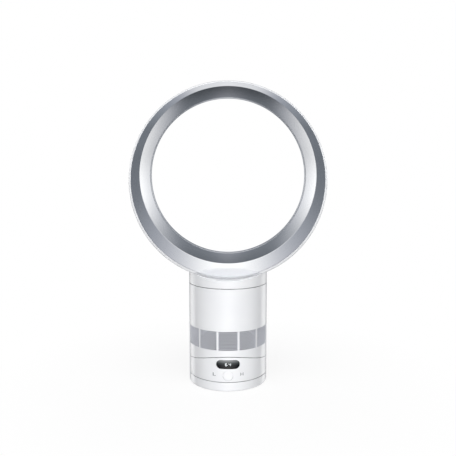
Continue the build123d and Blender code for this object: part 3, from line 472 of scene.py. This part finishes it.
def turned(name, rings, steps, capped=False):
    """A turned solid: a circle extruded from ring to ring, then joined up into a hoop, or capped.

    Each ring is (radius, place along the axis, height of the axis), and the axis runs front to back."""
    def centre(ring):
        return Vector((0, ring[1], ring[2])) * MM
    add_circle(rings[0][0], steps, location=centre(rings[0]), rotation=(pi / 2, 0, 0))
    piece = start(name)
    edit(piece)
    for before, after in zip(rings, rings[1:]):
        bpy.ops.mesh.extrude_edges_move(TRANSFORM_OT_translate={"value": centre(after) - centre(before)})
        bpy.ops.transform.resize(value=(after[0] / before[0],) * 3, center_override=centre(after))
    close()
    last = len(piece.data.vertices) - steps
    for vertex in piece.data.vertices:
        vertex.select = vertex.index < steps or vertex.index >= last
    bpy.ops.object.mode_set(mode="EDIT")
    if capped:
        bpy.ops.mesh.fill_holes(sides=0)
    else:
        bpy.ops.mesh.bridge_edge_loops()
    bpy.ops.mesh.select_all(action="SELECT")
    bpy.ops.mesh.normals_make_consistent(inside=False)
    close()
    return piece


def placed(piece, body, finish, slot, *replaced):
    """Gives the piece its finish and the body that carries it, and hides the CAD nodes that it replaces."""
    piece.data.materials.clear()
    piece.data.materials.append(finish)
    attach(piece, body)
    if replaced:
        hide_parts(*replaced)
    return piece


# ---- Loop ----------------------------------------------------------------------------------------

crest_radius = opening_radius + flare_width


def about(centre_z, points):
    """Rings round a level axis at this height, from (radius, y) points."""
    return [(radius, y, centre_z) for radius, y in points]


def make_casing():
    """The white outer shell with its rear lip, in one closed mesh."""
    rear_radius = loop_radius - rear_taper
    rim = opening_radius + rear_flat
    mouth_y = rear_y - lip_round
    rear_wall = rear_y - loop_wall
    rim_y = casing_front_y + rim_drop
    front_reach = (loop_radius - rim_radius, wide_front_y - rim_y)
    outside = [(trim_radius - loop_wall, casing_front_y), (rim_radius - rim_flat, casing_front_y)]
    outside += arc((rim_radius, wide_front_y), front_reach, -90, 0, 8)
    outside += arc((rear_radius, wide_rear_y), (rear_taper, rear_y - wide_rear_y), 0, 90, 24)
    lip = [(rim - lip_inset, rear_y), (rim - lip_inset - lip_round, mouth_y)]
    lip += [(opening_radius + rear_flat * (1 - t) ** 2, mouth_y + (lip_bend_y - mouth_y) * t)
            for t in (0.15, 0.3, 0.45, 0.6, 0.75, 0.9, 1.0)]
    tip = arc((opening_radius + lip_wall / 2, lip_tip_y + lip_wall / 2), (lip_wall / 2, lip_wall / 2),
              180, 360, 6)
    back = [(opening_radius + lip_wall, lip_bend_y), (rim, rear_wall - lip_foot),
            (rim + lip_wall, rear_wall)]
    inside = arc((rear_radius, wide_rear_y), (rear_taper - loop_wall, rear_wall - wide_rear_y), 90, 0, 10)
    inside += arc((rim_radius - loop_wall, wide_front_y), (front_reach[0], front_reach[1] - loop_wall),
                  0, -90, 5)
    inside.append((trim_radius - loop_wall, rim_y + loop_wall))
    rings = about(casing_centre, outside) + about(opening_centre, lip + tip + back)
    rings += about(casing_centre, inside)
    return smoothed(turned("casing_shell", rings, ring_steps))


def make_front_trim():
    """The silver front band, narrow at the top and wide below, with a softly broken crest."""
    crest = (crest_radius + crest_gap, crest_y, opening_centre + crest_lift)
    edge = (trim_radius, trim_y, casing_centre + trim_lift)

    def across(share):
        return tuple(a + (b - a) * share for a, b in zip(crest, edge))
    rings = [(crest[0], crest_y + trim_thickness, crest[2]), crest]
    rings += [across(share) for share in (0.05, 0.35, 0.65, 0.95)]
    rings += [edge, (trim_radius, casing_front_y + trim_seat, edge[2])]
    piece = turned("front_trim", rings, ring_steps)
    bevelled(piece, fine_bevel)
    return smoothed(piece, 40)


def make_flared_ring():
    """The silver surface that the air runs along, from the crest through the waist to the slot."""
    tail = opening_radius + lip_wall + slot_gap
    waist = opening_radius
    flare = [(crest_radius + (waist - crest_radius) * (t + flare_curve * t * (1 - t)),
              crest_y + (waist_y - crest_y) * t, opening_centre + crest_lift * (1 - t))
             for t in (0, 0.02, 0.12, 0.24, 0.36, 0.48, 0.6, 0.72, 0.84, 0.94)]
    tuck = [(waist + (tail - waist) * (3 * t * t - 2 * t ** 3), waist_y + (lip_tip_y - waist_y) * t)
            for t in (0, 0.15, 0.3, 0.45, 0.6, 0.75, 0.9, 1.0)]
    end_y = lip_tip_y + slot_overlap
    outside = [(tail + trim_thickness, end_y), (tail + trim_thickness, lip_tip_y),
               (waist + trim_thickness, waist_y)]
    front = [(crest_radius + trim_thickness, crest_y + crest_hem),
             (crest_radius, crest_y + trim_thickness)]
    rings = flare + about(opening_centre, tuck + [(tail, end_y)] + outside)
    rings += about(opening_centre + crest_lift, front)
    return smoothed(turned("flared_ring", rings, ring_steps), 25)


# ---- Air inlet -----------------------------------------------------------------------------------

panel_count = 12
rib_width = 3.2
panel_thickness = 1.5
panel_gap = 0.1                 # between a panel and its window
hole_columns = 11               # in the longer rows of a panel
hole_rows = 13
hole_radius = 1.2


def make_cell(name, width, row, columns):
    """A flat rectangle of the sheet at the origin, its level edges cut into as many parts as columns."""
    deselect()
    bpy.ops.mesh.primitive_grid_add(x_subdivisions=columns, y_subdivisions=2, size=MM,
                                    rotation=(pi / 2, 0, 0))
    cell = start(name)
    edit(cell)
    bpy.ops.transform.resize(value=(width, 1, row))
    close()
    return cell


def make_hole_cell(pitch, row):
    """One cell of the perforated sheet: a round hole in a rectangle with 12 corners."""
    cell = make_cell("hole_cell", pitch, row, 4)
    edit(cell)
    bpy.ops.mesh.dissolve_faces()
    bpy.ops.mesh.inset(thickness=0.2 * MM)  # any inset will do, as it is made round and sized below
    bpy.ops.transform.tosphere(value=1.0)
    close()
    reach = max(vertex.co.length for vertex in cell.data.vertices if vertex.select) / MM
    bpy.ops.object.mode_set(mode="EDIT")
    bpy.ops.transform.resize(value=(hole_radius / reach,) * 3)
    bpy.ops.mesh.delete(type="ONLY_FACE")
    close()
    return cell


def make_screens():
    """Twelve curved panels of fine staggered holes, flush in the body's windows."""
    gap_width = 2 * pi * pillar_radius / panel_count - rib_width - 2 * panel_gap
    pitch = gap_width / hole_columns
    row = (grille_top - grille_bottom) / hole_rows
    lowest = grille_bottom + row / 2
    long_rows = moved(make_hole_cell(pitch, row), x=-(hole_columns - 1) / 2 * pitch, z=lowest)
    short_rows = moved(copied(long_rows, "short_rows"), x=pitch / 2, z=row)
    ends = moved(make_cell("blank_cell", pitch / 2, row, 2), x=-(hole_columns - 0.5) / 2 * pitch,
                 z=lowest + row)
    repeated(repeated(long_rows, hole_columns, x=pitch), (hole_rows + 1) // 2, z=2 * row)
    repeated(repeated(short_rows, hole_columns - 1, x=pitch), hole_rows // 2, z=2 * row)
    repeated(repeated(ends, 2, x=(hole_columns - 0.5) * pitch), hole_rows // 2, z=2 * row)
    screens = joined(long_rows, short_rows, ends)
    screens.name = screens.data.name = "inlet_screens"
    applied(screens, "SOLIDIFY", thickness=panel_thickness * MM, offset=-1)
    wrapped(screens, pillar_radius)
    edit(screens)
    for _ in range(panel_count - 1):
        bpy.ops.mesh.duplicate()
        bpy.ops.transform.rotate(value=2 * pi / panel_count, orient_axis="Z", center_override=(0, 0, 0))
    close()
    return smoothed(screens, 40)


# ---- Controls ------------------------------------------------------------------------------------

lens_low, lens_high = box_mm("display_lens")
lens_width = lens_high.x - lens_low.x
lens_height = lens_high.z - lens_low.z
lens_z = (lens_low.z + lens_high.z) / 2
lens_thickness = 1.8
strip_width = 2.0               # the window is cut into upright strips, so that it bends smoothly
strips_aside = 9                # cuts on each side of the middle one
off_middle = 0.01               # corners further than this from a pill's middle go with its ends
digit_drop = 0.1                # the digits sit a little below the lens's middle
digit_pitch = 6.4
segment_reach = 1.45            # from a digit's middle to its upright segments
segment_rise = 2.3              # from a digit's middle to its top and bottom segments
segment_stroke = 0.85
segment_length = 2.0
segment_thickness = 0.2
digit_proud = 0.06              # how far the digits stand out of the window
lit_segments = {"6": "acdefg", "4": "bcfg"}
reading = "64"
button_radius = 9.1
button_round = 0.6
# The shallow dish in the button's middle, as (radius, depth).
button_dish = [(1.0, 0.34), (2.2, 0.30), (3.3, 0.20), (4.2, 0.07), (4.6, 0.02), (4.9, 0.0)]
button_flange = 10.3
button_flange_front = 3.6
button_flange_thickness = 1.3
button_z = sum(corner.z for corner in box_mm("power_button")) / 2
mark_reach = 25.5               # along the casing, from its middle to the low and high marks
mark_z = 31.4
mark_height = 6.0
capital_share = 0.72            # a capital's height in parts of its letter size
mark_thickness = 0.06
mark_proud = 0.02               # how far the marks' middles stand out of the casing
mark_stretch = {"L": 1.7, "H": 1.15}


def make_lens():
    """The smoked window: a pill with rounded edges, on the casing's curve."""
    add_circle(lens_height / 2, 64, fill_type="NGON", rotation=(pi / 2, 0, 0))
    lens = start("display_window")
    for side in (-1, 1):
        edit(lens, lambda place: place.x * side > off_middle)
        bpy.ops.transform.translate(value=(side * (lens_width - lens_height) / 2 * MM, 0, 0))
        close()
    edit(lens)
    for cut in range(-strips_aside, strips_aside + 1):
        bpy.ops.mesh.select_all(action="SELECT")
        bpy.ops.mesh.bisect(plane_co=(cut * strip_width * MM, 0, 0), plane_no=(1, 0, 0))
    close()
    applied(lens, "SOLIDIFY", thickness=lens_thickness * MM, offset=-1)
    bevelled(lens, fine_bevel)
    return smoothed(moved(wrapped(lens, pillar_radius), z=lens_z), 40)


def make_segment():
    """One upright segment at the origin: a bar with pointed ends."""
    point = segment_stroke / sqrt(3)    # from a hexagon's middle to its corners
    add_circle(point, 6, fill_type="NGON", rotation=(pi / 2, 0, 0))
    segment = start("segment")
    reach = segment_length / 2 - point
    for side in (-1, 1):
        edit(segment, lambda place: place.z * side > off_middle)
        bpy.ops.transform.translate(value=(0, 0, side * reach * MM))
        close()
    applied(segment, "SOLIDIFY", thickness=segment_thickness * MM, offset=-1)
    return segment


def make_reading():
    """The lit digits, each of upright and level segments."""
    upright = make_segment()
    level = copied(upright, "level_segment")
    edit(level)
    bpy.ops.transform.rotate(value=pi / 2, orient_axis="Y", center_override=(0, 0, 0))
    close()
    half = segment_rise / 2
    places = {"a": (level, 0, segment_rise), "b": (upright, segment_reach, half),
              "c": (upright, segment_reach, -half), "d": (level, 0, -segment_rise),
              "e": (upright, -segment_reach, -half), "f": (upright, -segment_reach, half),
              "g": (level, 0, 0)}
    lit = []
    for place, digit in enumerate(reading):
        digit_x = (place - (len(reading) - 1) / 2) * digit_pitch
        for letter in lit_segments[digit]:
            model, x, z = places[letter]
            lit.append(moved(copied(model, "lit_segment"), x=digit_x + x, z=z))
    bpy.data.objects.remove(upright)
    bpy.data.objects.remove(level)
    digits = joined(*lit)
    digits.name = digits.data.name = "display_reading"
    return moved(wrapped(digits, pillar_radius), y=-digit_proud, z=lens_z - digit_drop)


def make_mark(letter, reach):
    """A printed letter on the casing's curve."""
    deselect()
    bpy.ops.object.text_add(rotation=(pi / 2, 0, 0))
    mark = bpy.context.active_object
    mark.data.body = letter
    mark.data.align_x = "CENTER"
    mark.data.align_y = "CENTER"
    mark.data.size = mark_height / capital_share * MM
    mark.data.extrude = mark_thickness * MM
    bpy.ops.object.convert(target="MESH")
    mark = start({"L": "low_mark", "H": "high_mark"}[letter])
    edit(mark)
    bpy.ops.transform.resize(value=(mark_stretch[letter], 1, 1), center_override=(0, 0, 0))
    close()
    moved(mark, x=reach)
    return moved(wrapped(mark, pillar_radius), y=-mark_proud, z=mark_z)


def make_button():
    """The push button: a round cap on the casing's curve, dished in its middle, with its flange behind."""
    back_y = button_flange_front + button_flange_thickness
    rim = [(6.5, 0.0), (button_radius - button_round - 0.1, 0.0)]  # two rings that keep it flat
    rim += arc((button_radius - button_round, button_round), (button_round, button_round), -75, 0, 4)
    back = [(button_radius, button_flange_front), (button_flange, button_flange_front),
            (button_flange, back_y), (button_dish[0][0], back_y)]
    cap = turned("button_cap", about(0, button_dish + rim + back), 72, capped=True)
    return smoothed(moved(wrapped(cap, pillar_radius), z=button_z), 40)


def finish_nodes(finishes):
    """Gives each carried-over CAD node the finish of its slot."""
    slots = {part["node"]: part["material_slot"] for part in frame["record"]["subparts"]}
    for name, piece in nodes.items():
        piece.data.materials.clear()
        piece.data.materials.append(finishes[slots[name]])


# ---- Stage and light -----------------------------------------------------------------------------

floor_radius = 800.0
shadow_near = 50.0              # the floor's shadow fades between these distances from its middle
shadow_far = 450.0
floor_glow = 0.85               # how much of the floor nearest the fan is plain white
room_peak = 2.5                 # a level above any in the room, where white paper is 1
room_share = 0.93               # one dimmer for the whole room
# What polished surfaces mirror, as (degrees from the front, brightness): a white table before the fan,
# grey side walls, and a tall softbox behind it on each side.
room_walls = ((0, 1.4), (10, 1.1), (20, 0.64), (29, 0.4), (36, 0.31), (44, 0.145), (60, 0.2),
              (112, 0.16), (119, 1.7), (128, 2.2), (139, 2.1), (146, 1.35), (153, 1.0), (159, 0.64),
              (162, 0.48), (165, 0.23), (168, 0.19), (174, 0.25), (177, 0.38), (180, 0.52))
# How those walls fade with height, as (sine of the height, share), before the fan and behind it.
front_fade = ((-1, 1.0), (0.02, 1.0), (0.32, 0.62), (0.76, 0.3), (0.88, 0.1))
rear_fade = ((-0.5, 0.1), (-0.47, 0.2), (-0.44, 0.5), (-0.4, 0.84), (-0.34, 0.78), (-0.25, 0.82),
             (-0.14, 0.76), (-0.03, 1.0), (0.09, 1.12), (0.19, 0.95), (0.27, 0.58), (0.36, 0.5),
             (0.39, 0.4), (0.42, 0.14))
# The softbox overhead, as (sine of the height, brightness).
room_ceiling = ((0.15, 0.02), (0.31, 0.1), (0.36, 0.08), (0.42, 0.07), (0.5, 0.14), (0.64, 0.23),
                (0.76, 0.3), (0.83, 0.42), (0.92, 0.8), (1.0, 0.8))
# The room's dark parts are slate, its grey ones bluish and its bright ones white, from these levels on.
room_dark_tint = (0.87, 1.0, 1.14)
room_grey_tint = (0.965, 1.0, 1.12)
room_grey_level = 0.4
room_bright_level = 0.9
# The even light on matt surfaces comes more from below than from above, blended between these heights.
dim_below = 0.10
dim_above = 0.03
dim_low = -0.6
dim_high = 0.2


def shown_ray(tree):
    """1 for the rays that show the background: camera, glossy and transmission."""
    path = node(tree, "ShaderNodeLightPath").outputs
    both = node(tree, "ShaderNodeMath", [(0, path["Is Camera Ray"]), (1, path["Is Glossy Ray"])],
                operation="MAXIMUM")
    every = node(tree, "ShaderNodeMath", [(0, both.outputs[0]), (1, path["Is Transmission Ray"])],
                 operation="MAXIMUM")
    return every.outputs[0]


def make_floor():
    """A round white floor whose soft shadow fades out before its edge."""
    add_circle(floor_radius, 96, fill_type="NGON")
    floor = start("studio_floor")
    new, tree, shader = material("matt white floor paper")
    set_shader(shader, Base_Color=colour("#E6E6E6"), Roughness=0.9)
    glow = node(tree, "ShaderNodeEmission", Strength=1.0)
    reach = node(tree, "ShaderNodeVectorMath", [("Vector", own_place(tree))], operation="LENGTH")
    near = node(tree, "ShaderNodeMapRange", [("Value", reach.outputs["Value"])],
                From_Min=shadow_near * MM, From_Max=shadow_far * MM, To_Min=floor_glow, To_Max=1.0)
    share = node(tree, "ShaderNodeMath", [(0, near.outputs["Result"]), (1, shown_ray(tree))],
                 operation="MULTIPLY")
    both = node(tree, "ShaderNodeMixShader",
                [("Fac", share.outputs[0]), (1, shader.outputs[0]), (2, glow.outputs[0])])
    tree.links.new(both.outputs[0], tree.nodes["Material Output"].inputs["Surface"])
    floor.data.materials.append(new)
    floor.visible_glossy = False
    floor.visible_diffuse = False
    floor.visible_shadow = False    # the light that the table throws up comes from its own lamp


def room_colour(level):
    """The room's colour at a brightness, in parts of room_peak."""
    if level < room_grey_level:
        share, low, high = level / room_grey_level, room_dark_tint, room_grey_tint
    else:
        share = min((level - room_grey_level) / (room_bright_level - room_grey_level), 1)
        low, high = room_grey_tint, (1, 1, 1)
    return tuple(level / room_peak * (a + (b - a) * share) for a, b in zip(low, high)) + (1.0,)


def mirrored_room(tree, direction):
    """The studio that polished surfaces mirror: walls that fade upwards, and a softbox overhead."""
    aside = node(tree, "ShaderNodeMath", [(0, direction["X"])], operation="ABSOLUTE")
    forward = node(tree, "ShaderNodeMath", [(0, direction["Y"]), (1, -1.0)], operation="MULTIPLY")
    angle = node(tree, "ShaderNodeMath", [(0, aside.outputs[0]), (1, forward.outputs[0])],
                 operation="ARCTAN2").outputs[0]
    turn = node(tree, "ShaderNodeMapRange", [("Value", angle)], From_Max=pi)
    walls = node(tree, "ShaderNodeValToRGB", [("Fac", turn.outputs["Result"])],
                 [(degrees / 180, room_colour(level)) for degrees, level in room_walls])
    height = node(tree, "ShaderNodeMapRange", [("Value", direction["Z"])], From_Min=-1)
    before, behind = (node(tree, "ShaderNodeValToRGB", [("Fac", height.outputs["Result"])],
                           [((z + 1) / 2, (share, share, share, 1.0)) for z, share in shares])
                      for shares in (front_fade, rear_fade))
    is_behind = node(tree, "ShaderNodeMath", [(0, angle), (1, pi / 2)], operation="GREATER_THAN")
    fade = node(tree, "ShaderNodeMix", [("Factor", is_behind.outputs[0]), ("A", before.outputs["Color"]),
                                        ("B", behind.outputs["Color"])], data_type="RGBA")
    ceiling = node(tree, "ShaderNodeValToRGB", [("Fac", direction["Z"])],
                   [(z, room_colour(level)) for z, level in room_ceiling])
    lit = node(tree, "ShaderNodeVectorMath", [(0, walls.outputs["Color"]), (1, fade.outputs["Result"]),
                                              (2, ceiling.outputs["Color"])], operation="MULTIPLY_ADD")
    return node(tree, "ShaderNodeVectorMath", [(0, lit.outputs["Vector"])], operation="SCALE",
                Scale=room_peak * room_share).outputs["Vector"]


def make_world():
    """White to the camera, a studio room in reflections, and a dim even light on matt surfaces."""
    world = bpy.data.worlds.new("studio")
    bpy.context.scene.world = world
    world.use_nodes = True
    tree = world.node_tree
    generated = node(tree, "ShaderNodeTexCoord").outputs["Generated"]
    direction = node(tree, "ShaderNodeSeparateXYZ", [("Vector", generated)]).outputs
    path = node(tree, "ShaderNodeLightPath").outputs
    dim = node(tree, "ShaderNodeMapRange", [("Value", direction["Z"])], From_Min=dim_low, From_Max=dim_high,
               To_Min=dim_below, To_Max=dim_above)
    mirrored = node(tree, "ShaderNodeMix", [("Factor", path["Is Glossy Ray"]), ("A", dim.outputs["Result"]),
                                            ("B", mirrored_room(tree, direction))], data_type="RGBA")
    seen = node(tree, "ShaderNodeMix", [("Factor", path["Is Camera Ray"]),
                                        ("A", mirrored.outputs["Result"])], data_type="RGBA",
                B=colour("#FFFFFF"))
    background = tree.nodes["Background"]
    tree.links.new(seen.outputs["Result"], background.inputs["Color"])
    background.inputs["Strength"].default_value = 1.0


def lamp(name, azimuth, elevation, strength, softness):
    """A soft distant lamp, its angles in degrees. Azimuth 0 is in front of the fan."""
    bpy.ops.object.light_add(type="SUN")
    new = bpy.context.active_object
    new.name = name
    towards = Vector((sin(radians(azimuth)) * cos(radians(elevation)),
                      -cos(radians(azimuth)) * cos(radians(elevation)), sin(radians(elevation))))
    new.rotation_euler = towards.to_track_quat("Z", "Y").to_euler()
    new.data.energy = strength
    new.data.angle = radians(softness)
    new.visible_glossy = False


def make_lights():
    lamp("front softbox", 0, 15, 0.6, 40)
    lamp("overhead softbox", 0, 65, 3.0, 50)
    lamp("light off the table", 0, -40, 1.9, 60)
    lamp("rear softbox left", -136, 4, 1.75, 12)
    lamp("rear softbox right", 136, 4, 1.75, 12)


make_camera()
make_floor()
make_world()
make_lights()
bpy.context.scene.view_settings.view_transform = "Standard"

white = gloss_abs()[0]
silver = silver_lacquer()
smoke = smoked_acrylic()
rubber = moulded("moulded rubber", "#1E1F20", "#2A2B2C", 0.75)
grey_nylon = moulded("glass-filled nylon", "#55585C", "#5E6165", 0.6)
black_nylon = moulded("black nylon", "#1A1B1C", "#222324", 0.55)
acetal = moulded("natural acetal", "#DAD7CB", "#E2DFD4", 0.4)
finishes = {
    "casing_white": white, "loop_silver": silver, "display_smoke": smoke,
    "display_digits": black_nylon, "foot_rubber": rubber, "seal_rubber": rubber,
    "steel": bare_metal("zinc-plated steel", "#A9ACB0", "#C4C6C9", 0.3), "acetal": acetal,
    "grey_plastic": grey_nylon, "dark_plastic": black_nylon,
    "board_laminate": moulded("green board laminate", "#1C5A36", "#246B42", 0.35),
    "motor_can": bare_metal("plated steel can", "#9FA2A6", "#B8BABD", 0.35),
    "winding": wound_copper(), "magnet": bare_metal("sintered ferrite", "#35363A", "#45464A", 0.55),
    "foam": open_foam(),
}
finish_nodes(finishes)
placed(make_casing(), "loop", part_lacquered_abs(), "casing_white", "loop_casing")
placed(make_front_trim(), "loop", silver, "loop_silver", "loop_front_trim")
placed(make_flared_ring(), "loop", silver, "loop_silver", "loop_inner_ring")
placed(make_screens(), "fan_body", abs_with_painted_hole_shade(), "casing_white", "inlet_panels")
placed(make_lens(), "upper_base", smoke, "display_smoke", "display_lens")
placed(make_reading(), "upper_base", glowing_segment(), "display_digits")
placed(make_button(), "button", white, "casing_white", "power_button")
ink = pad_print()
for letter, side in (("L", -1), ("H", 1)):
    placed(make_mark(letter, side * mark_reach), "upper_base", ink, "display_digits")
